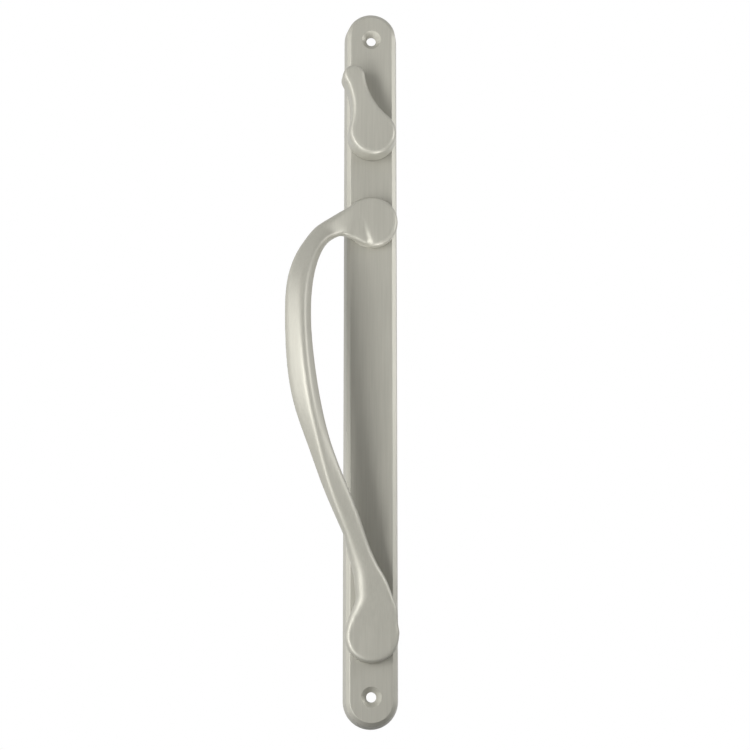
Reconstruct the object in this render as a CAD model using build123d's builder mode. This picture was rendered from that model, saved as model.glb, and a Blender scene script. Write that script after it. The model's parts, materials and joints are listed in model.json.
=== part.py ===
from build123d import *
from math import cos, radians, sin, sqrt, tan
import os

# Interior handle set of a sliding patio door: a long cast escutcheon plate, a thumb-turn near its top
# and an offset pull whose twisted bow swings out to the left. Millimetres.
# Frame: the door face is the plane y = 0, the front looks along -Y and +Z is up.
# The origin is on the door face, midway between the two mounting screw holes.

# Escutcheon plate
plate_length = 388.0
plate_width = 28.6          # at the door face
plate_depth = 10.0          # from the door face to the front face
plate_draft = 8.0           # degrees, side walls lean in towards the front
plate_chamfer = 1.8         # along the front edge
plate_edge_radius = 0.6     # where the chamfer meets the front face
face_thickness = 2.8
rim_wall = 2.8              # at the door face
rib_thickness = 3.0
rib_pitch = 40.0

# Mounting screw holes, for number 10 flat-head screws
hole_spacing = 355.6
hole_diameter = 5.2
countersink_diameter = 10.6
countersink_angle = 90.0
boss_diameter = 14.0
boss_height = 1.2           # behind the face

# Pull handle
pull_top = 72.8             # height of the upper pad's centre
pull_centres = 220.0        # upper pad to lower pad
pad_diameter = 27.8
pad_height = 6.5            # above the plate's front face
pad_rim_radius = 2.6
seat_edge_radius = 0.4      # where a pad meets the plate
arm_slope = 17.5            # degrees, arm's way down from the upper pad
crease_reach = 4.3          # from the upper pad's centre to the crease where the arm begins
crease_fade = 5.0           # crease runs out this far above the pad's centre
crease_fall = 3.0           # degrees, crease deepens on its way down
crease_slope = 32.0         # degrees, lean of the crease's wall
crease_land = 1.4           # pad left standing beside the crease, under the arm
crease_undercut = 5.0       # pad is cut this far below the crease, beyond that land
bow_offset = 39.7           # bow's centre line, left of the plate's centre line
bow_depth = 43.3            # bow's centre line, out from the door face
bar_width = 12.8            # facet that faces the front at the top of the bow
bar_thickness = 10.2        # facet that faces the front at the tail
ridge_radius = 1.8          # between those two facets
bar_edge_radius = 3.8       # the bar's other edges
spigot_diameter = 10.0
spigot_length = 2.2

# Machine screws that hold the pull, M5 pan head with washers
screw_diameter = 5.0
screw_length = 8.0
screw_point_chamfer = 0.6
screw_tip_gap = 1.0         # tapped hole beyond the screw's point
screw_head_diameter = 9.2
screw_head_height = 3.2
screw_head_round = 1.4
driver_slot_width = 1.2
driver_slot_length = 5.2
driver_slot_depth = 1.8
flat_washer_diameter = 15.0
flat_washer_thickness = 1.0
lock_washer_diameter = 9.0
lock_washer_thickness = 1.2
lock_washer_slit = 0.8
lock_washer_lean = 20.0     # degrees, slant of the slit

# Thumb-turn: a teardrop lever on a spindle
turn_height = 121.3         # hub centre above the origin
turn_tilt = 17.3            # degrees, lever leans left of upright at rest
hub_radius = 13.1
knob_radius = 6.4
knob_reach = 33.6           # hub centre to knob centre
flank_radius = 35.0         # hollow sides between hub and knob
lever_height = 11.6
lever_draft = 3.0           # degrees, its walls lean in towards its face
lever_edge_radius = 2.0
lever_gap = 0.4             # lever's underside above the plate
lever_wall = 2.4            # beside the core in the lever's underside
lever_core_depth = 7.0
spindle_diameter = 9.0
spindle_tail = 7.0          # spindle behind the door face
spindle_chamfer = 0.5

# Bearing and retaining stack on the spindle
bush_wall = 2.0
bush_flange_diameter = 19.0
bush_flange_thickness = 0.8
bearing_boss_wall = 3.0
bearing_boss_height = 1.4
spring_washer_diameter = 16.0
spring_washer_sheet = 0.4
spring_washer_bow = 0.9     # free height above the sheet
thrust_washer_thickness = 0.8
clip_diameter = 15.0
clip_thickness = 0.8
clip_groove_depth = 1.0
clip_mouth = 6.4
clip_relief_diameter = 3.2  # two hollows that leave the clip three gripping lugs
clip_relief_angle = 62.0    # degrees, each side of the clip's back

# Tailpiece blade that works the lock, and the pin that holds it
blade_width = 6.35
blade_thickness = 1.6
blade_reach = 45.0          # behind the door face
blade_socket = 1.5          # spindle slot's end, in front of the door face
blade_tip_chamfer = 1.2
pin_diameter = 2.0
pin_setback = 3.5           # pin axis behind the door face
pin_recess = 0.25           # pin's ends below the spindle's surface

# Clearances
fit = 0.05                  # radial, pieces that turn or slide together
seat = 0.02                 # radial, pieces that are fixed together
slack = 0.1                 # between stacked faces that turn against each other
running_gap = 0.4           # radial, around pieces that turn clear of others

# Places that follow from the sizes above
pull_bottom = pull_top - pull_centres
inner_face = plate_depth - face_thickness
bearing_end = inner_face - bearing_boss_height
bush_diameter = spindle_diameter + 2 * fit + 2 * bush_wall
bush_bore = spindle_diameter + 2 * fit
pad_face = plate_depth + pad_height
pad_middle = plate_depth + pad_height / 2
screw_seat = inner_face - flat_washer_thickness - lock_washer_thickness
tapped_hole_end = screw_seat + screw_length + screw_tip_gap
spring_washer_height = spring_washer_sheet + spring_washer_bow
thrust_front = bearing_end - slack - spring_washer_height - slack
clip_front = thrust_front - thrust_washer_thickness
groove_radius = spindle_diameter / 2 - clip_groove_depth
lever_base = plate_depth + lever_gap
flange_front = plate_depth + bush_flange_thickness
flange_recess = bush_flange_diameter / 2 + running_gap
hole_heights = (hole_spacing / 2, -hole_spacing / 2)
pad_heights = {"upper": pull_top, "lower": pull_bottom}

os.makedirs("parts", exist_ok=True)


def front_plane(depth, height=0.0):
    """Plane facing the viewer, this far out from the door face, centred at this height."""
    return Plane(origin=(0, -depth, height), x_dir=(1, 0, 0), z_dir=(0, -1, 0))


def turn_plane(depth):
    """Plane on the thumb-turn's axis, with its local y along the lever."""
    lean = radians(turn_tilt)
    return Plane(origin=(0, -depth, turn_height), x_dir=(cos(lean), 0, sin(lean)), z_dir=(0, -1, 0))


def save(builder, name):
    builder.part.label = name
    export_step(builder.part, f"parts/{name}.step")


# Escutcheon plate: a hollow-backed casting with drafted sides and a chamfered front edge.
# Its rim and cross ribs all rest on the door face.
rib_heights = [rib_pitch * step for step in (-3, -2, -1, 0, 1)]
with BuildPart() as escutcheon_plate:
    with BuildSketch(front_plane(0)):
        SlotOverall(plate_length, plate_width, rotation=90)
    extrude(amount=plate_depth, taper=plate_draft)
    chamfer(escutcheon_plate.faces().sort_by(Axis.Y)[0].edges(), plate_chamfer)
    fillet(escutcheon_plate.faces().sort_by(Axis.Y)[0].edges(), plate_edge_radius)
    with BuildSketch(front_plane(0)):
        SlotOverall(plate_length - 2 * rim_wall, plate_width - 2 * rim_wall, rotation=90)
    extrude(amount=inner_face, mode=Mode.SUBTRACT)
    for height in rib_heights:
        with BuildSketch(front_plane(0, height)):
            Rectangle(plate_width - 2 * rim_wall, rib_thickness)
        extrude(amount=inner_face)
    for height in hole_heights:
        with BuildSketch(front_plane(inner_face - boss_height, height)):
            Circle(boss_diameter / 2)
        extrude(amount=boss_height)
    with BuildSketch(front_plane(bearing_end, turn_height)):
        Circle(bush_diameter / 2 + bearing_boss_wall)
    extrude(amount=bearing_boss_height)
    with Locations(front_plane(plate_depth, hole_heights[0]), front_plane(plate_depth, hole_heights[1])):
        CounterSinkHole(hole_diameter / 2, countersink_diameter / 2, counter_sink_angle=countersink_angle)
    with Locations(front_plane(plate_depth, turn_height)):
        Hole(bush_diameter / 2 + seat)
    with Locations(*[front_plane(plate_depth, height) for height in pad_heights.values()]):
        Hole(spigot_diameter / 2 + seat)
save(escutcheon_plate, "escutcheon_plate")


# Pull handle: a bar lofted through stations along the bow, from inside the upper pad to the lower pad.
# The bar turns a quarter about its own line on the way, so the facet that looks inwards at the top
# is the one that looks forwards at the tail and runs on into the lower pad's face.
# Columns: share of the way down, share of the bow's offset, share of the bow's depth beyond the pads,
# size across facet A, size across facet B, twist in degrees, share of pad shape
stations = [
    (0.001, 0.000, 0.000, 0.93 * pad_diameter, 0.83 * pad_height, -2, 0.0),
    (0.000, 0.116, 0.000, 0.87 * pad_diameter, 0.89 * pad_height, -2, 0.0),
    (0.002, 0.204, 0.008, 0.78 * pad_diameter, 0.90 * pad_height, -4, 0.0),
    (0.004, 0.276, 0.014, 1.40 * bar_width, 0.58 * bar_thickness, -7, 0.0),
    (0.006, 0.350, 0.028, 1.17 * bar_width, 0.62 * bar_thickness, -10, 0.0),
    (0.012, 0.457, 0.063, 0.90 * bar_width, 0.70 * bar_thickness, -12, 0.0),
    (0.026, 0.579, 0.130, 0.81 * bar_width, 0.78 * bar_thickness, -9, 0.0),
    (0.041, 0.671, 0.212, 0.78 * bar_width, 0.83 * bar_thickness, -1, 0.0),
    (0.070, 0.778, 0.355, 0.77 * bar_width, 0.86 * bar_thickness, 12, 0.0),
    (0.112, 0.883, 0.545, 0.86 * bar_width, 0.92 * bar_thickness, 22, 0.0),
    (0.175, 0.972, 0.765, 0.95 * bar_width, 0.96 * bar_thickness, 28, 0.0),
    (0.278, 1.000, 0.945, 0.95 * bar_width, 0.97 * bar_thickness, 31, 0.0),
    (0.375, 0.965, 0.995, bar_width, bar_thickness, 33, 0.0),
    (0.469, 0.877, 0.945, 0.97 * bar_width, bar_thickness, 37, 0.0),
    (0.558, 0.725, 0.790, 0.84 * bar_width, 0.88 * bar_thickness, 52, 0.0),
    (0.648, 0.529, 0.575, 0.85 * bar_width, bar_thickness, 74, 0.0),
    (0.736, 0.310, 0.350, 0.86 * bar_width, bar_thickness, 86, 0.0),
    (0.800, 0.156, 0.195, 0.80 * bar_width, 0.87 * bar_thickness, 90, 0.1),
    (0.848, 0.030, 0.110, 0.74 * bar_width, 0.94 * bar_thickness, 90, 0.2),
    (0.880, -0.034, 0.075, 0.68 * bar_width, 1.25 * bar_thickness, 90, 0.3),
    (0.905, -0.070, 0.050, 0.63 * bar_width, 0.53 * pad_diameter, 90, 0.5),
    (0.935, -0.073, 0.024, 0.56 * bar_width, 0.725 * pad_diameter, 90, 0.7),
    (0.962, -0.030, 0.009, 1.05 * pad_height, 0.875 * pad_diameter, 90, 0.9),
    (0.981, -0.008, 0.002, 1.01 * pad_height, 0.968 * pad_diameter, 90, 1.0),
    (1.000, 0.000, 0.000, pad_height, pad_diameter, 90, 1.0),
]
bow_rise = bow_depth - pad_middle


def station_centre(along, aside, rise):
    return Vector(-aside * bow_offset, -pad_middle - rise * bow_rise, pull_top - along * pull_centres)


def station_plane(centre, heading, twist):
    """Section plane: local x is facet B's outward direction and local y is facet A's."""
    toward_viewer = Vector(0, -1, 0)
    front = (toward_viewer - heading * toward_viewer.dot(heading)).normalized()
    side = front.cross(heading)
    turn = radians(twist)
    return Plane(origin=centre, x_dir=side * cos(turn) + front * sin(turn), z_dir=heading)


def between(bar_value, pad_value, share):
    return bar_value + (pad_value - bar_value) * share


def pad_profile(height):
    """Half section of a round pad, from its axis to its rim, standing on the plate's front face."""
    radius = pad_diameter / 2
    with BuildSketch(Plane(origin=(0, 0, height), x_dir=(1, 0, 0), z_dir=(0, 0, -1))) as profile:
        with BuildLine():
            bottom = Line((0, plate_depth), (radius - seat_edge_radius, plate_depth))
            lower = RadiusArc(bottom @ 1, (radius, plate_depth + seat_edge_radius), -seat_edge_radius)
            wall = Line(lower @ 1, (radius, pad_face - pad_rim_radius))
            upper = RadiusArc(wall @ 1, (radius - pad_rim_radius, pad_face), -pad_rim_radius)
            top = Line(upper @ 1, (0, pad_face))
            Line(top @ 1, (0, plate_depth))
        make_face()
    return profile.sketch


centres = [station_centre(*station[:3]) for station in stations]
downwards = Vector(0, 0, -1)
headings = []
for index, station in enumerate(stations):
    before = centres[max(index - 1, 0)]
    after = centres[min(index + 1, len(centres) - 1)]
    along_bar = (after - before).normalized()
    headings.append(between(along_bar, downwards, station[6]).normalized())

arm_way = Vector(-cos(radians(arm_slope)), 0, -sin(radians(arm_slope)))
crease_way = Vector(sin(radians(arm_slope)), 0, -cos(radians(arm_slope)))
crease_top = Vector(0, -pad_face, pull_top) + arm_way * crease_reach - crease_way * crease_fade
crease_heading = crease_way * cos(radians(crease_fall)) + Vector(0, 1, 0) * sin(radians(crease_fall))

with BuildPart() as pull_handle:
    revolve(pad_profile(pull_top), axis=Axis((0, 0, pull_top), (0, -1, 0)))
    with BuildSketch(Plane(origin=crease_top, x_dir=arm_way, z_dir=crease_heading)):
        with BuildLine():
            Polyline(
                (0, 0),
                (crease_land, crease_land / 2),
                (crease_land, crease_undercut),
                (pad_diameter, crease_undercut),
                (pad_diameter, -pad_height),
                (-pad_height / tan(radians(crease_slope)), -pad_height),
                close=True,
            )
        make_face()
    extrude(amount=pad_diameter, mode=Mode.SUBTRACT)
    for station, centre, heading in zip(stations, centres, headings):
        wide, deep, twist, share = station[3:]
        edge = min(bar_edge_radius, 0.3 * wide, 0.3 * deep)
        ridge = between(ridge_radius, pad_rim_radius, share)
        brow = between(edge, pad_rim_radius, share)
        back = between(edge, seat_edge_radius, share)
        with BuildSketch(station_plane(centre, heading, twist)):
            with BuildLine():
                FilletPolyline(
                    (-wide / 2, -deep / 2),
                    (wide / 2, -deep / 2),
                    (wide / 2, deep / 2),
                    (-wide / 2, deep / 2),
                    radius=[back, brow, ridge, back],
                    close=True,
                )
            make_face()
    loft()
    revolve(pad_profile(pull_bottom), axis=Axis((0, 0, pull_bottom), (0, 1, 0)), revolution_arc=180)
    split(bisect_by=front_plane(plate_depth), keep=Keep.TOP)
    for height in pad_heights.values():
        with BuildSketch(front_plane(plate_depth - spigot_length, height)):
            Circle(spigot_diameter / 2)
        extrude(amount=spigot_length)
        with BuildSketch(front_plane(plate_depth - spigot_length, height)):
            Circle(screw_diameter / 2 + seat)
        extrude(amount=tapped_hole_end - plate_depth + spigot_length, mode=Mode.SUBTRACT)
save(pull_handle, "pull_handle")


# Pull screws with their washers, driven from the plate's hollow back into the pads
for place, height in pad_heights.items():
    with BuildPart() as pull_screw:
        with BuildSketch(front_plane(screw_seat, height)):
            Circle(screw_head_diameter / 2)
        extrude(amount=-screw_head_height)
        fillet(pull_screw.faces().sort_by(Axis.Y)[-1].edges(), screw_head_round)
        with BuildSketch(front_plane(screw_seat - screw_head_height, height)):
            Rectangle(driver_slot_length, driver_slot_width)
            Rectangle(driver_slot_width, driver_slot_length)
        extrude(amount=driver_slot_depth, mode=Mode.SUBTRACT)
        with BuildSketch(front_plane(screw_seat, height)):
            Circle(screw_diameter / 2)
        extrude(amount=screw_length)
        chamfer(pull_screw.faces().sort_by(Axis.Y)[0].edges(), screw_point_chamfer)
    save(pull_screw, f"{place}_pull_screw")

    with BuildPart() as lock_washer:
        with BuildSketch(front_plane(screw_seat, height)):
            Circle(lock_washer_diameter / 2)
            Circle(screw_diameter / 2 + slack, mode=Mode.SUBTRACT)
        extrude(amount=lock_washer_thickness)
        with BuildSketch(Plane.XY.offset(height)):
            with Locations((0, -screw_seat - lock_washer_thickness / 2)):
                Rectangle(lock_washer_slit, 2 * lock_washer_thickness, rotation=lock_washer_lean)
        extrude(amount=lock_washer_diameter, mode=Mode.SUBTRACT)
    save(lock_washer, f"{place}_lock_washer")

    with BuildPart() as flat_washer:
        with BuildSketch(front_plane(inner_face - flat_washer_thickness, height)):
            Circle(flat_washer_diameter / 2)
            Circle(screw_diameter / 2 + slack, mode=Mode.SUBTRACT)
        extrude(amount=flat_washer_thickness)
    save(flat_washer, f"{place}_flat_washer")


# Thumb-turn: a teardrop lever, hub and knob circles joined by hollow flanks, cast with its spindle
hub_to_flank = hub_radius + flank_radius
knob_to_flank = knob_radius + flank_radius
flank_y = (hub_to_flank**2 - knob_to_flank**2 + knob_reach**2) / (2 * knob_reach)
flank_x = sqrt(hub_to_flank**2 - flank_y**2)
flank_centre = Vector(flank_x, flank_y)
knob_centre = Vector(0, knob_reach)
hub_touch = flank_centre * (hub_radius / hub_to_flank)
knob_touch = knob_centre + (flank_centre - knob_centre) * (knob_radius / knob_to_flank)
core_start = flange_recess + lever_wall


def lever_outline():
    with BuildSketch() as outline:
        with BuildLine():
            hub = ThreePointArc((-hub_touch.X, hub_touch.Y), (0, -hub_radius), (hub_touch.X, hub_touch.Y))
            right = TangentArc(hub @ 1, knob_touch, tangent=hub % 1)
            knob = ThreePointArc(right @ 1, (0, knob_reach + knob_radius), (-knob_touch.X, knob_touch.Y))
            TangentArc(knob @ 1, hub @ 0, tangent=knob % 1)
        make_face()
    return outline.sketch


with BuildPart() as thumb_turn:
    with BuildSketch(turn_plane(lever_base)):
        add(lever_outline())
    extrude(amount=lever_height, taper=lever_draft)
    fillet(thumb_turn.faces().sort_by(Axis.Y)[0].edges(), lever_edge_radius)
    with BuildSketch(turn_plane(lever_base)):
        add(lever_outline())
        offset(amount=-lever_wall, mode=Mode.REPLACE)
        Circle(core_start, mode=Mode.SUBTRACT)
    extrude(amount=lever_core_depth, mode=Mode.SUBTRACT)
    with BuildSketch(turn_plane(lever_base)):
        Circle(flange_recess)
    extrude(amount=flange_front + slack - lever_base, mode=Mode.SUBTRACT)
    with BuildSketch(turn_plane(-spindle_tail)):
        Circle(spindle_diameter / 2)
    extrude(amount=spindle_tail + flange_front + slack)
    chamfer(thumb_turn.faces().sort_by(Axis.Y)[-1].edges(), spindle_chamfer)
    with BuildSketch(turn_plane(clip_front - clip_thickness - seat)):
        Circle(spindle_diameter / 2 + seat)
        Circle(groove_radius, mode=Mode.SUBTRACT)
    extrude(amount=clip_thickness + 2 * seat, mode=Mode.SUBTRACT)
    with BuildSketch(turn_plane(-spindle_tail)):
        Rectangle(blade_thickness + 2 * seat, blade_width + 2 * seat)
    extrude(amount=spindle_tail + blade_socket, mode=Mode.SUBTRACT)
    with BuildSketch(Plane(origin=turn_plane(-pin_setback).origin, z_dir=turn_plane(0).x_dir)):
        Circle(pin_diameter / 2 + seat)
    extrude(amount=spindle_diameter, both=True, mode=Mode.SUBTRACT)
save(thumb_turn, "thumb_turn")


# Flanged bush that the spindle turns in, seated in the plate from the front
with BuildPart() as thumb_turn_bush:
    with BuildSketch(front_plane(bearing_end, turn_height)):
        Circle(bush_diameter / 2)
    extrude(amount=flange_front - bearing_end)
    with BuildSketch(front_plane(plate_depth, turn_height)):
        Circle(bush_flange_diameter / 2)
    extrude(amount=bush_flange_thickness)
    with BuildSketch(front_plane(bearing_end, turn_height)):
        Circle(bush_bore / 2)
    extrude(amount=flange_front - bearing_end, mode=Mode.SUBTRACT)
save(thumb_turn_bush, "thumb_turn_bush")


# Spring washer: a thin ring curved about the vertical, its crown towards the plate
crown = bearing_end - slack
rim = crown - spring_washer_bow
half_span = spring_washer_diameter / 2
with BuildPart() as spring_washer:
    with BuildSketch(front_plane(crown - spring_washer_height, turn_height)):
        Circle(half_span)
        Circle(spindle_diameter / 2 + running_gap, mode=Mode.SUBTRACT)
    extrude(amount=spring_washer_height)
    with BuildSketch(Plane.XY.offset(turn_height - half_span)):
        with BuildLine():
            front = ThreePointArc((-half_span, -rim), (0, -crown), (half_span, -rim))
            right = Line(front @ 1, (half_span, -rim + spring_washer_sheet))
            left_end = (-half_span, -rim + spring_washer_sheet)
            back = ThreePointArc(right @ 1, (0, -crown + spring_washer_sheet), left_end)
            Line(back @ 1, front @ 0)
        make_face()
    extrude(amount=spring_washer_diameter, mode=Mode.INTERSECT)
save(spring_washer, "spring_washer")


# Thrust washer and retaining clip, which turn with the spindle
with BuildPart() as thrust_washer:
    with BuildSketch(front_plane(clip_front, turn_height)):
        Circle(spring_washer_diameter / 2)
        Circle(spindle_diameter / 2 + fit, mode=Mode.SUBTRACT)
    extrude(amount=thrust_washer_thickness)
save(thrust_washer, "thrust_washer")

with BuildPart() as retaining_clip:
    with BuildSketch(turn_plane(clip_front - clip_thickness)):
        Circle(clip_diameter / 2)
        Circle(groove_radius + seat, mode=Mode.SUBTRACT)
        with Locations((0, -clip_diameter / 2)):
            Rectangle(clip_mouth, clip_diameter, mode=Mode.SUBTRACT)
        for angle in (90 - clip_relief_angle, 90 + clip_relief_angle):
            with PolarLocations(groove_radius + seat, 1, start_angle=angle):
                Circle(clip_relief_diameter / 2, mode=Mode.SUBTRACT)
    extrude(amount=clip_thickness)
save(retaining_clip, "retaining_clip")


# Tailpiece blade in the spindle's slot, and its cross pin
with BuildPart() as tailpiece:
    with BuildSketch(turn_plane(-blade_reach)):
        Rectangle(blade_thickness, blade_width)
    extrude(amount=blade_reach + blade_socket)
    tip = tailpiece.faces().sort_by(Axis.Y)[-1]
    chamfer(tip.edges().sort_by(SortBy.LENGTH)[:2], blade_tip_chamfer)
    with BuildSketch(Plane(origin=turn_plane(-pin_setback).origin, z_dir=turn_plane(0).x_dir)):
        Circle(pin_diameter / 2 + seat)
    extrude(amount=blade_thickness, both=True, mode=Mode.SUBTRACT)
save(tailpiece, "tailpiece")

with BuildPart() as tailpiece_pin:
    with BuildSketch(Plane(origin=turn_plane(-pin_setback).origin, z_dir=turn_plane(0).x_dir)):
        Circle(pin_diameter / 2)
    extrude(amount=spindle_diameter / 2 - pin_recess, both=True)
save(tailpiece_pin, "tailpiece_pin")
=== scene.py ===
import bmesh
import bpy
import json
from math import cos, radians, sin, sqrt
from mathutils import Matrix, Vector
from mathutils.bvhtree import BVHTree


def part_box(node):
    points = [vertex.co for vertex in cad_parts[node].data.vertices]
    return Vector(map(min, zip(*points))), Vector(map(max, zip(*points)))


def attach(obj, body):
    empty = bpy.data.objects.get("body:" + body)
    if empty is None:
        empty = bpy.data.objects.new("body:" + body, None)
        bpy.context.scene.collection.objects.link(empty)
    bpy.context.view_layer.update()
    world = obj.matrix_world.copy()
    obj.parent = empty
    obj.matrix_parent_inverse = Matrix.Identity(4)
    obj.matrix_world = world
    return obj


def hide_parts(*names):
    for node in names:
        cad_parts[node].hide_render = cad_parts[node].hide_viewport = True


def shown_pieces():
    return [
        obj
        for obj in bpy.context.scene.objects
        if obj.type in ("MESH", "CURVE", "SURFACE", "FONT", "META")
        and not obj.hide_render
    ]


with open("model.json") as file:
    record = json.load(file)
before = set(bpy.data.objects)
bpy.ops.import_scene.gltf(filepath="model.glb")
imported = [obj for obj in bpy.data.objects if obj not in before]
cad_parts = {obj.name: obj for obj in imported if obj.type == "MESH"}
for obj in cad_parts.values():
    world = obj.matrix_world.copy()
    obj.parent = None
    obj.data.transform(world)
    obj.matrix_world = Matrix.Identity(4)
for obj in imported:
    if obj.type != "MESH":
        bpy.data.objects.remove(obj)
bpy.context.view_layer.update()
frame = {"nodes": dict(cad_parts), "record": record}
nodes = frame["nodes"]
scene = bpy.context.scene
print("frame loaded:", len(nodes), "nodes")

bodyOf = {}
for bodyName, members in frame["record"]["behaviour"]["bodies"].items():
    for member in members:
        bodyOf[member] = bodyName
slotOf = {part["node"]: part["material_slot"] for part in frame["record"]["subparts"]}


# small helpers for material trees

def newMaterial(name):
    material = bpy.data.materials.new(name)
    material.use_nodes = True
    tree = material.node_tree
    shader = tree.nodes["Principled BSDF"]
    return material, tree, shader


def addNode(tree, kind, place, **values):
    node = tree.nodes.new(kind)
    node.location = place
    for key, value in values.items():
        setattr(node, key, value)
    return node


def objectNoise(tree, place, size, stretch, tilt=0.0, detail=4.0, rough=0.55):
    # noise in object metres: size is the grain across, stretch lengthens it along Z
    coords = addNode(tree, "ShaderNodeTexCoord", (place[0] - 400, place[1]))
    mapping = addNode(tree, "ShaderNodeMapping", (place[0] - 200, place[1]))
    mapping.inputs["Scale"].default_value = (1 / size, 1 / size, 1 / (size * stretch))
    mapping.inputs["Rotation"].default_value = (0, radians(tilt), 0)
    noise = addNode(tree, "ShaderNodeTexNoise", place)
    noise.inputs["Scale"].default_value = 1.0
    noise.inputs["Detail"].default_value = detail
    noise.inputs["Roughness"].default_value = rough
    tree.links.new(coords.outputs["Object"], mapping.inputs["Vector"])
    tree.links.new(mapping.outputs["Vector"], noise.inputs["Vector"])
    return noise


def spread(tree, place, source, low, high, fromLow=0.3, fromHigh=0.7):
    # a plain number range driven by a texture
    ranged = addNode(tree, "ShaderNodeMapRange", place)
    ranged.inputs["From Min"].default_value = fromLow
    ranged.inputs["From Max"].default_value = fromHigh
    ranged.inputs["To Min"].default_value = low
    ranged.inputs["To Max"].default_value = high
    tree.links.new(source, ranged.inputs["Value"])
    return ranged


def twoTone(tree, place, source, dark, light, fromLow=0.3, fromHigh=0.7):
    ramp = addNode(tree, "ShaderNodeValToRGB", place)
    ramp.color_ramp.elements[0].position = fromLow
    ramp.color_ramp.elements[0].color = (*dark, 1)
    ramp.color_ramp.elements[1].position = fromHigh
    ramp.color_ramp.elements[1].color = (*light, 1)
    tree.links.new(source, ramp.inputs["Fac"])
    return ramp


# satin nickel plate on the castings: warm grey, a soft vertical brush grain, faint cloudiness

satinSettings = {
    "darkTone": (0.415, 0.405, 0.353),
    "lightTone": (0.505, 0.494, 0.431),
    "grainShare": 0.6,
    "cloudSize": 0.045,
    "grainSize": 0.0006,
    "grainStretch": 45.0,
    "metallic": 0.30,
    "roughLow": 0.42,
    "roughHigh": 0.52,
    "bumpDepth": 0.00001,
    "bumpStrength": 0.25,
}


def satinNickel(name, grainTilt=0.0):
    s = satinSettings
    material, tree, shader = newMaterial(name)
    cloud = objectNoise(tree, (-900, 300), s["cloudSize"], 1.6, grainTilt, 3.0)
    grain = objectNoise(tree, (-900, -100), s["grainSize"], s["grainStretch"], grainTilt, 5.0, 0.65)
    both = addNode(tree, "ShaderNodeMix", (-700, 300))
    both.inputs["Factor"].default_value = s["grainShare"]
    tree.links.new(cloud.outputs["Fac"], both.inputs["A"])
    tree.links.new(grain.outputs["Fac"], both.inputs["B"])
    colour = twoTone(tree, (-500, 300), both.outputs["Result"], s["darkTone"], s["lightTone"])
    tree.links.new(colour.outputs["Color"], shader.inputs["Base Color"])
    gloss = spread(tree, (-500, 0), grain.outputs["Fac"], s["roughLow"], s["roughHigh"])
    tree.links.new(gloss.outputs["Result"], shader.inputs["Roughness"])
    bump = addNode(tree, "ShaderNodeBump", (-300, -250))
    bump.inputs["Strength"].default_value = s["bumpStrength"]
    bump.inputs["Distance"].default_value = s["bumpDepth"]
    tree.links.new(grain.outputs["Fac"], bump.inputs["Height"])
    tree.links.new(bump.outputs["Normal"], shader.inputs["Normal"])
    shader.inputs["Metallic"].default_value = s["metallic"]
    return material


# bright zinc on the screws, washers and tailpiece

zincSettings = {
    "darkTone": (0.44, 0.46, 0.48),
    "lightTone": (0.60, 0.61, 0.62),
    "spangleSize": 0.0012,
    "metallic": 1.0,
    "roughLow": 0.28,
    "roughHigh": 0.44,
}


def zincPlate():
    s = zincSettings
    material, tree, shader = newMaterial("zincPlate")
    spangle = objectNoise(tree, (-800, 200), s["spangleSize"], 1.0, 0.0, 3.0)
    colour = twoTone(tree, (-450, 250), spangle.outputs["Fac"], s["darkTone"], s["lightTone"])
    tree.links.new(colour.outputs["Color"], shader.inputs["Base Color"])
    gloss = spread(tree, (-450, 0), spangle.outputs["Fac"], s["roughLow"], s["roughHigh"])
    tree.links.new(gloss.outputs["Result"], shader.inputs["Roughness"])
    shader.inputs["Metallic"].default_value = s["metallic"]
    return material


# dark phosphate on the spring steel pieces

phosphateSettings = {
    "darkTone": (0.060, 0.060, 0.064),
    "lightTone": (0.115, 0.114, 0.116),
    "mottleSize": 0.0008,
    "metallic": 0.9,
    "roughLow": 0.38,
    "roughHigh": 0.58,
}


def darkSpringSteel():
    s = phosphateSettings
    material, tree, shader = newMaterial("darkSpringSteel")
    mottle = objectNoise(tree, (-800, 200), s["mottleSize"], 1.0)
    colour = twoTone(tree, (-450, 250), mottle.outputs["Fac"], s["darkTone"], s["lightTone"])
    tree.links.new(colour.outputs["Color"], shader.inputs["Base Color"])
    gloss = spread(tree, (-450, 0), mottle.outputs["Fac"], s["roughLow"], s["roughHigh"])
    tree.links.new(gloss.outputs["Result"], shader.inputs["Roughness"])
    shader.inputs["Metallic"].default_value = s["metallic"]
    return material


# natural nylon for the bush

nylonSettings = {
    "darkTone": (0.66, 0.64, 0.58),
    "lightTone": (0.72, 0.70, 0.65),
    "cloudSize": 0.004,
    "roughness": 0.42,
    "subsurface": 0.15,
    "subsurfaceDepth": 0.0015,
}


def naturalNylon():
    s = nylonSettings
    material, tree, shader = newMaterial("naturalNylon")
    cloud = objectNoise(tree, (-800, 200), s["cloudSize"], 1.0)
    colour = twoTone(tree, (-450, 250), cloud.outputs["Fac"], s["darkTone"], s["lightTone"])
    tree.links.new(colour.outputs["Color"], shader.inputs["Base Color"])
    shader.inputs["Roughness"].default_value = s["roughness"]
    shader.inputs["Subsurface Weight"].default_value = s["subsurface"]
    shader.inputs["Subsurface Scale"].default_value = s["subsurfaceDepth"]
    return material


leverTilt = 17.3  # degrees, the thumb-turn's grain leans with its lever
castFinish = satinNickel("satinNickel")
leverFinish = satinNickel("satinNickelLever", -leverTilt)
finishes = {
    "satin_nickel_casting": castFinish,
    "zinc_plated_steel": zincPlate(),
    "spring_steel": darkSpringSteel(),
    "nylon": naturalNylon(),
}
print("materials made:", len(bpy.data.materials))


# finished pieces: a merged copy of a CAD node with clean shading, in the node's own place

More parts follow.
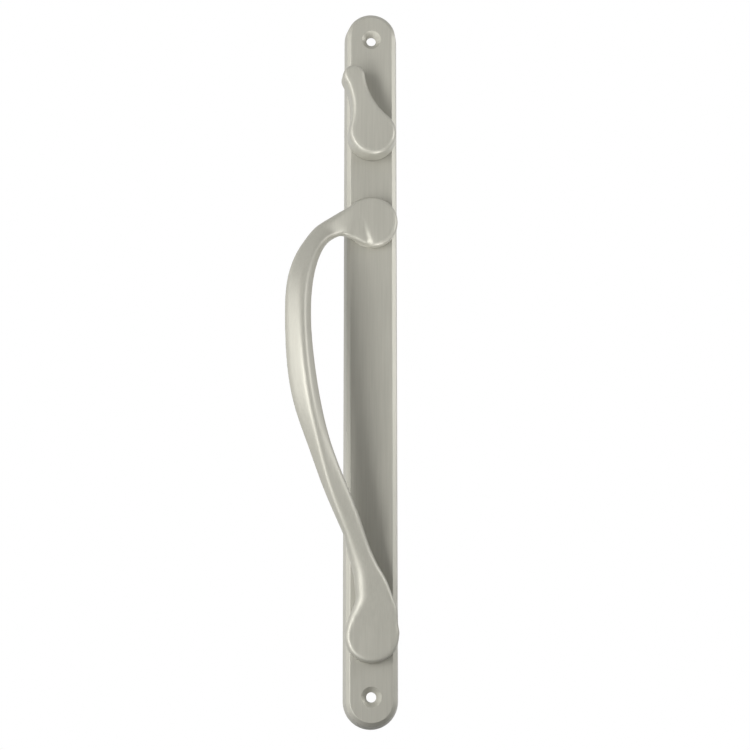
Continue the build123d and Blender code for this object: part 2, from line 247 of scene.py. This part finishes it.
def mergedCopy(nodeName, pieceName, weld=1e-6):
    mesh = nodes[nodeName].data.copy()
    mesh.name = pieceName
    work = bmesh.new()
    work.from_mesh(mesh)
    bmesh.ops.remove_doubles(work, verts=work.verts, dist=weld)
    work.to_mesh(mesh)
    work.free()
    mesh.materials.clear()
    piece = bpy.data.objects.new(pieceName, mesh)
    scene.collection.objects.link(piece)
    return piece


def settle(piece, nodeName, material):
    piece.data.materials.clear()
    piece.data.materials.append(material)
    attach(piece, bodyOf[nodeName])
    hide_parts(nodeName)
    return piece


def bakeModifiers(piece):
    graph = bpy.context.evaluated_depsgraph_get()
    made = bpy.data.meshes.new_from_object(piece.evaluated_get(graph), depsgraph=graph)
    piece.modifiers.clear()
    old = piece.data
    piece.data = made
    bpy.data.meshes.remove(old)
    return piece


def smoothByAngle(mesh, angle):
    mesh.shade_smooth()
    mesh.set_sharp_from_angle(angle=radians(angle))


# plate, thumb-turn and the small hardware: crisp edges, even normals over the flats

crispSettings = {
    "smoothAngle": 28.0,  # degrees, sharper edges stay hard
    "flatAngle": 0.3,     # degrees, faces this close to level with each other make one flat
}


def flatAreas(work):
    # each face's weight: the area of the whole flat that it belongs to
    alike = cos(radians(crispSettings["flatAngle"]))
    areas = {}
    for start in work.faces:
        if start in areas:
            continue
        flat = [start]
        areas[start] = 0.0
        for face in flat:
            for edge in face.edges:
                for other in edge.link_faces:
                    if other not in areas and other.normal.dot(start.normal) > alike:
                        areas[other] = 0.0
                        flat.append(other)
        total = sum(face.calc_area() for face in flat)
        areas.update((face, total) for face in flat)
    return areas


def evenNormals(mesh):
    # a flat keeps one straight normal right up to its fillets
    work = bmesh.new()
    work.from_mesh(mesh)
    areas = flatAreas(work)
    smooth = cos(radians(crispSettings["smoothAngle"]))
    normals = []
    for face in work.faces:
        for corner in face.loops:
            around = [other for other in corner.vert.link_faces if other.normal.dot(face.normal) > smooth]
            mixed = sum((other.normal * areas[other] for other in around), Vector())
            normals.append(mixed.normalized())
    work.free()
    mesh.normals_split_custom_set(normals)


def crispPiece(nodeName, material, shape=None):
    piece = mergedCopy(nodeName, nodeName + "_finished")
    if shape:
        shape(piece.data)
    smoothByAngle(piece.data, crispSettings["smoothAngle"])
    evenNormals(piece.data)
    return settle(piece, nodeName, material)


def share(value, none, full):
    # 0 at none, 1 at full, even between them
    return min(max((value - none) / (full - none), 0.0), 1.0)


# thumb-turn: its face rolls off softly towards the rim, as on a polished casting

leverSettings = {
    "flatSlack": 0.00001,
    "rings": 4,
    "ringStep": 0.0004,
    "rimDepth": 0.0023,
    "wallSlope": 0.08,
    "rollWidth": 0.0044,
    "rollDepth": 0.0008,
}


def rollLeverFace(mesh):
    s = leverSettings
    work = bmesh.new()
    work.from_mesh(mesh)
    front = min(vertex.co.y for vertex in work.verts)
    flat = [face for face in work.faces if max(vertex.co.y for vertex in face.verts) < front + s["flatSlack"]]
    for ring in range(s["rings"]):
        bmesh.ops.inset_region(
            work, faces=flat, thickness=s["ringStep"], use_boundary=True, use_even_offset=True)
    work.verts.index_update()
    rim = [vertex for vertex in work.verts if vertex.co.y < front + s["rimDepth"]]
    rimSet = set(rim)
    upright = [face for face in work.faces if abs(face.normal.y) < s["wallSlope"]]
    walls = [face for face in upright if rimSet.intersection(face.verts)]
    corners = [vertex.co.copy() for vertex in work.verts]
    wall = BVHTree.FromPolygons(corners, [[vertex.index for vertex in face.verts] for face in walls])
    for vertex in rim:
        away = vertex.co - wall.find_nearest(vertex.co)[0]
        inset = Vector((away.x, away.z)).length
        vertex.co.y += s["rollDepth"] * share(inset, s["rollWidth"], 0.0) ** 2
    work.to_mesh(mesh)
    work.free()


# pull handle: one flowing casting, its skin remade as an even grid and eased like a polished surface

pullSettings = {
    "gridSize": 0.00042,
    "easeFactor": 0.5,
    "easeRounds": 22,
    "bowRounds": 130,
    "bowSwell": 0.0004,
    "bowTop": (0.060, 0.035),  # pairs run from no effect to full effect
    "bowBottom": (-0.125, -0.095),
    "creaseRounds": 60,
    "creaseTop": (-0.0049, 0.0757),
    "creaseFoot": (0.0001, 0.0594),
    "creaseReach": (0.0050, 0.0015),
    "creaseFront": -0.010,
    "flankRounds": 16,
    "flankSlice": 0.0008,
    "flankInset": (0.0055, 0.0035),
    "flankWidth": 0.0040,
    "flankDepth": 0.0045,
    "flankTop": (-0.096, -0.112),
    "flankBottom": (-0.144, -0.126),
}


def swellFlank(piece):
    # the tail's left flank swells out in a round brow and fades into the lower pad
    s = pullSettings
    leftmost = {}
    front = {}
    for vertex in piece.data.vertices:
        level = round(vertex.co.z / s["flankSlice"])
        leftmost[level] = min(vertex.co.x, leftmost.get(level, vertex.co.x))
        front[level] = min(vertex.co.y, front.get(level, vertex.co.y))
    group = piece.vertex_groups.new(name="flank")
    for vertex in piece.data.vertices:
        level = round(vertex.co.z / s["flankSlice"])
        along = share(vertex.co.z, *s["flankTop"]) * share(vertex.co.z, *s["flankBottom"])
        weight = along * share(vertex.co.x - leftmost[level], *s["flankInset"])
        if weight > 0:
            group.add([vertex.index], along, "REPLACE")
            short = 1 - share(vertex.co.y - front[level], 0.0, s["flankDepth"])
            vertex.co.x -= weight * s["flankWidth"] * sqrt(1 - short * short)  # quarter-round profile
    return group.name


def bowWeight(place):
    # the bow's long ridges are softer than the pads' rims
    s = pullSettings
    return share(place.z, *s["bowTop"]) * share(place.z, *s["bowBottom"])


def creaseWeight(place):
    # the crease beside the upper pad is worn soft
    s = pullSettings
    if place.y >= s["creaseFront"]:
        return 0.0
    top = Vector(s["creaseTop"])
    along = Vector(s["creaseFoot"]) - top
    offset = Vector((place.x, place.z)) - top
    part = share(offset.dot(along), 0.0, along.dot(along))
    return share((offset - along * part).length, *s["creaseReach"])


def weightGroup(piece, name, weightOf):
    group = piece.vertex_groups.new(name=name)
    for vertex in piece.data.vertices:
        weight = weightOf(vertex.co)
        if weight > 0:
            group.add([vertex.index], weight, "REPLACE")
    return group.name


def easeSkin(piece, name, rounds, group=""):
    ease = piece.modifiers.new(name, "SMOOTH")
    ease.vertex_group = group
    ease.factor = pullSettings["easeFactor"]
    ease.iterations = rounds


def pullHandle():
    s = pullSettings
    piece = mergedCopy("pull_handle", "pull_handle_finished")
    grid = piece.modifiers.new("evenGrid", "REMESH")
    grid.mode = "VOXEL"
    grid.voxel_size = s["gridSize"]
    grid.use_smooth_shade = True
    bakeModifiers(piece)
    flank = swellFlank(piece)
    crease = weightGroup(piece, "crease", creaseWeight)
    bow = weightGroup(piece, "bow", bowWeight)
    easeSkin(piece, "flank", s["flankRounds"], flank)
    easeSkin(piece, "crease", s["creaseRounds"], crease)
    easeSkin(piece, "bow", s["bowRounds"], bow)
    swell = piece.modifiers.new("swell", "DISPLACE")  # gives back what easing the bow takes off
    swell.vertex_group = bow
    swell.mid_level = 0.0
    swell.strength = s["bowSwell"]
    easeSkin(piece, "ease", s["easeRounds"])
    bakeModifiers(piece)
    piece.data.shade_smooth()
    return settle(piece, "pull_handle", castFinish)


# pull screws: the CAD's plain shank turned down to the thread's root, with the ridge wound on as a helix

threadSettings = {
    "pitch": 0.0008,
    "rootShare": 0.84,
    "ridge": 0.00036,
    "clearance": 0.00002,
    "runOut": 0.0009,
    "stepsPerTurn": 32,
    "ridgeSides": 4,
    "smoothAngle": 35.0,
    "headRim": 0.99,      # share of the head's radius: past it is the rim
    "shankLimit": 0.9,    # share of the head's radius: within it is the shank
    "seatSlack": 0.000001,
}


def threadTree():
    tree = bpy.data.node_groups.new("threadRidge", "GeometryNodeTree")
    tree.interface.new_socket(name="Geometry", in_out="OUTPUT", socket_type="NodeSocketGeometry")
    kinds = {
        "Core": "NodeSocketGeometry",
        "Turns": "NodeSocketFloat",
        "Length": "NodeSocketFloat",
        "Radius": "NodeSocketFloat",
        "Ridge": "NodeSocketFloat",
        "Start": "NodeSocketVector",
        "Finish": "NodeSocketMaterial",
    }
    keys = {}
    for name, kind in kinds.items():
        keys[name] = tree.interface.new_socket(name=name, in_out="INPUT", socket_type=kind).identifier
    given = addNode(tree, "NodeGroupInput", (-900, 0))
    helix = addNode(tree, "GeometryNodeCurveSpiral", (-650, 200))
    outline = addNode(tree, "GeometryNodeCurvePrimitiveCircle", (-650, -150))
    wound = addNode(tree, "GeometryNodeCurveToMesh", (-400, 100))
    placed = addNode(tree, "GeometryNodeTransform", (-200, 100))
    joined = addNode(tree, "GeometryNodeJoinGeometry", (0, 0))
    solid = addNode(tree, "GeometryNodeRealizeInstances", (200, 0))
    finished = addNode(tree, "GeometryNodeSetMaterial", (400, 0))
    out = addNode(tree, "NodeGroupOutput", (600, 0))
    helix.inputs["Resolution"].default_value = threadSettings["stepsPerTurn"]
    outline.inputs["Resolution"].default_value = threadSettings["ridgeSides"]
    wound.inputs["Fill Caps"].default_value = True
    placed.inputs["Rotation"].default_value = (radians(90), 0, 0)
    link = tree.links.new
    link(given.outputs["Turns"], helix.inputs["Rotations"])
    link(given.outputs["Length"], helix.inputs["Height"])
    link(given.outputs["Radius"], helix.inputs["Start Radius"])
    link(given.outputs["Radius"], helix.inputs["End Radius"])
    link(given.outputs["Ridge"], outline.inputs["Radius"])
    link(helix.outputs["Curve"], wound.inputs["Curve"])
    link(outline.outputs["Curve"], wound.inputs["Profile Curve"])
    link(wound.outputs["Mesh"], placed.inputs["Geometry"])
    link(given.outputs["Start"], placed.inputs["Translation"])
    link(given.outputs["Core"], joined.inputs["Geometry"])
    link(placed.outputs["Geometry"], joined.inputs["Geometry"])
    link(joined.outputs["Geometry"], solid.inputs["Geometry"])
    link(solid.outputs["Geometry"], finished.inputs["Geometry"])
    link(given.outputs["Finish"], finished.inputs["Material"])
    link(finished.outputs["Geometry"], out.inputs["Geometry"])
    return tree, keys


def pullScrew(nodeName, tree, keys):
    s = threadSettings
    piece = mergedCopy(nodeName, nodeName + "_finished")
    low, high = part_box(nodeName)
    axis = ((low[0] + high[0]) / 2, (low[2] + high[2]) / 2)
    tip = low[1]
    far = [(Vector((v.co.x - axis[0], v.co.z - axis[1])).length, v) for v in piece.data.vertices]
    headRadius = max(reach for reach, vertex in far)
    seat = min(vertex.co.y for reach, vertex in far if reach > s["headRim"] * headRadius)
    inner = [(reach, vertex) for reach, vertex in far if reach < s["shankLimit"] * headRadius]
    shank = [(reach, vertex) for reach, vertex in inner if vertex.co.y < seat + s["seatSlack"]]
    crest = max(reach for reach, vertex in shank)
    for reach, vertex in shank:
        vertex.co.x = axis[0] + (vertex.co.x - axis[0]) * s["rootShare"]
        vertex.co.z = axis[1] + (vertex.co.z - axis[1]) * s["rootShare"]
    length = seat - tip - 2 * s["runOut"]
    material = finishes[slotOf[nodeName]]
    thread = piece.modifiers.new("thread", "NODES")
    thread.node_group = tree
    thread[keys["Turns"]] = length / s["pitch"]
    thread[keys["Length"]] = length
    thread[keys["Radius"]] = crest - s["ridge"] - s["clearance"]
    thread[keys["Ridge"]] = s["ridge"]
    thread[keys["Start"]] = (axis[0], seat - s["runOut"], axis[1])
    thread[keys["Finish"]] = material
    bakeModifiers(piece)
    smoothByAngle(piece.data, s["smoothAngle"])
    return settle(piece, nodeName, material)


pullHandle()
threadGroup, threadKeys = threadTree()
threaded = ("upper_pull_screw", "lower_pull_screw")
for nodeName in threaded:
    pullScrew(nodeName, threadGroup, threadKeys)
crispPiece("escutcheon_plate", castFinish)
crispPiece("thumb_turn", leverFinish, rollLeverFace)
for nodeName in sorted(nodes):
    if slotOf[nodeName] != "satin_nickel_casting" and nodeName not in threaded:
        crispPiece(nodeName, finishes[slotOf[nodeName]])
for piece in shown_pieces():
    print("piece", piece.name, len(piece.data.polygons), "faces")


# stage: pale floor, white surroundings, soft studio light

stageSettings = {
    "floorHeight": -1.0,
    "floorSize": 8.0,
    "floorDark": (0.84, 0.84, 0.83),
    "floorLight": (0.86, 0.86, 0.85),
    "floorCloud": 0.6,
    "floorRoughness": 0.8,
    "floorGlow": 0.6,
    "ambient": 0.11,
    "white": 1.0,
}


def seenDirectly(tree, place):
    # 1 for what the camera sees, straight or in a reflection
    path = addNode(tree, "ShaderNodeLightPath", place)
    glossy = addNode(tree, "ShaderNodeMath", (place[0] + 200, place[1]), operation="MAXIMUM")
    clear = addNode(tree, "ShaderNodeMath", (place[0] + 400, place[1]), operation="MAXIMUM")
    tree.links.new(path.outputs["Is Camera Ray"], glossy.inputs[0])
    tree.links.new(path.outputs["Is Glossy Ray"], glossy.inputs[1])
    tree.links.new(glossy.outputs["Value"], clear.inputs[0])
    tree.links.new(path.outputs["Is Transmission Ray"], clear.inputs[1])
    return clear.outputs["Value"]


def whiteWorld():
    s = stageSettings
    world = bpy.data.worlds.new("studio")
    world.use_nodes = True
    scene.world = world
    tree = world.node_tree
    tree.nodes.clear()
    around = addNode(tree, "ShaderNodeBackground", (0, 100))
    around.inputs["Color"].default_value = (1, 1, 1, 1)
    around.inputs["Strength"].default_value = s["ambient"]
    shown = addNode(tree, "ShaderNodeBackground", (0, -50))
    shown.inputs["Color"].default_value = (1, 1, 1, 1)
    shown.inputs["Strength"].default_value = s["white"]
    mix = addNode(tree, "ShaderNodeMixShader", (250, 50))
    out = addNode(tree, "ShaderNodeOutputWorld", (450, 50))
    tree.links.new(seenDirectly(tree, (-700, 200)), mix.inputs["Fac"])
    tree.links.new(around.outputs["Background"], mix.inputs[1])
    tree.links.new(shown.outputs["Background"], mix.inputs[2])
    tree.links.new(mix.outputs["Shader"], out.inputs["Surface"])


def paleFloor():
    s = stageSettings
    half = s["floorSize"] / 2
    mesh = bpy.data.meshes.new("floor")
    corners = [(-half, -half), (half, -half), (half, half), (-half, half)]
    mesh.from_pydata([(x, y, s["floorHeight"]) for x, y in corners], [], [(0, 1, 2, 3)])
    floor = bpy.data.objects.new("floor", mesh)
    scene.collection.objects.link(floor)
    material, tree, shader = newMaterial("paleFloor")
    cloud = objectNoise(tree, (-500, 100), s["floorCloud"], 1.0)
    colour = twoTone(tree, (-250, 100), cloud.outputs["Fac"], s["floorDark"], s["floorLight"])
    tree.links.new(colour.outputs["Color"], shader.inputs["Base Color"])
    shader.inputs["Roughness"].default_value = s["floorRoughness"]
    # the floor glows a little to stay pale, but sheds no light on the pieces
    tree.links.new(colour.outputs["Color"], shader.inputs["Emission Color"])
    shader.inputs["Emission Strength"].default_value = s["floorGlow"]
    floor.visible_diffuse = False
    mesh.materials.append(material)


# lamps: softboxes on the left at three heights, and two that graze the plate from the right and from below

lampSettings = {
    "leftBox": {"at": (-0.72, -0.82, -0.08), "size": (0.28, 0.80), "watts": 8.1},
    "lowLeftBox": {"at": (-0.50, -0.60, -0.55), "size": (0.35, 0.35), "watts": 2.0},
    "highLeftBox": {"at": (-0.85, -0.45, 0.50), "size": (0.40, 0.60), "watts": 2.2},
    "rightBox": {"at": (0.95, -0.28, 0.30), "size": (0.35, 0.50), "watts": 4.5},
    "underBox": {"at": (0.22, -0.10, -0.62), "size": (0.22, 0.10), "watts": 2.8},
}


def softBox(name, at, size, watts):
    lamp = bpy.data.lights.new(name, "AREA")
    lamp.shape = "RECTANGLE"
    lamp.size, lamp.size_y = size
    lamp.energy = watts
    box = bpy.data.objects.new(name, lamp)
    box.location = at
    box.rotation_euler = (-Vector(at)).to_track_quat("-Z", "Y").to_euler()
    scene.collection.objects.link(box)


# dark cards that the camera doesn't see: the unlit room behind it and above left, in reflections only,
# and a small one that keeps the light from below off the plate's lower end

cardSettings = {
    "behindCamera": {"at": (0.05, -1.25, -0.03), "size": (1.00, 0.96), "shades": False},
    "aboveLeft": {"at": (-0.60, -0.60, 0.90), "size": (0.80, 0.80), "shades": False},
    "underPlate": {"at": (-0.01, -0.015, -0.25), "size": (0.17, 0.16), "shades": True},
}
cardTone = (0.03, 0.03, 0.03, 1)


def darkCard(name, at, size, shades, material):
    wide, tall = size[0] / 2, size[1] / 2
    mesh = bpy.data.meshes.new(name)
    corners = [(-wide, -tall, 0), (wide, -tall, 0), (wide, tall, 0), (-wide, tall, 0)]
    mesh.from_pydata(corners, [], [(0, 1, 2, 3)])
    mesh.materials.append(material)
    card = bpy.data.objects.new(name, mesh)
    card.location = at
    card.rotation_euler = (-Vector(at)).to_track_quat("-Z", "Y").to_euler()
    card.visible_camera = False
    card.visible_diffuse = shades
    card.visible_shadow = shades
    scene.collection.objects.link(card)


# camera: the photograph's view, from a little below and to the left, by a long lens

cameraSettings = {
    "distance": 1.0257,
    "below": 12.14,
    "toLeft": 3.44,
    "lens": 92.12,
    "shift": (0.0062, -0.0195),
}


def photoCamera():
    s = cameraSettings
    below = radians(s["below"])
    aside = radians(s["toLeft"])
    view = bpy.data.cameras.new("photoCamera")
    view.lens = s["lens"]
    view.sensor_width = 36.0
    view.shift_x, view.shift_y = s["shift"]
    view.clip_start = 0.05
    camera = bpy.data.objects.new("photoCamera", view)
    eye = Vector((-sin(aside) * cos(below), -cos(aside) * cos(below), -sin(below))) * s["distance"]
    camera.location = eye
    camera.rotation_euler = (-eye).to_track_quat("-Z", "Y").to_euler()
    scene.collection.objects.link(camera)
    scene.camera = camera


whiteWorld()
paleFloor()
for lampName, lampValues in lampSettings.items():
    softBox(lampName, **lampValues)
cardFinish, cardTree, cardShader = newMaterial("darkCard")
cardShader.inputs["Base Color"].default_value = cardTone
for cardName, cardValues in cardSettings.items():
    darkCard(cardName, material=cardFinish, **cardValues)
photoCamera()
scene.view_settings.view_transform = "Standard"
print("stage set")
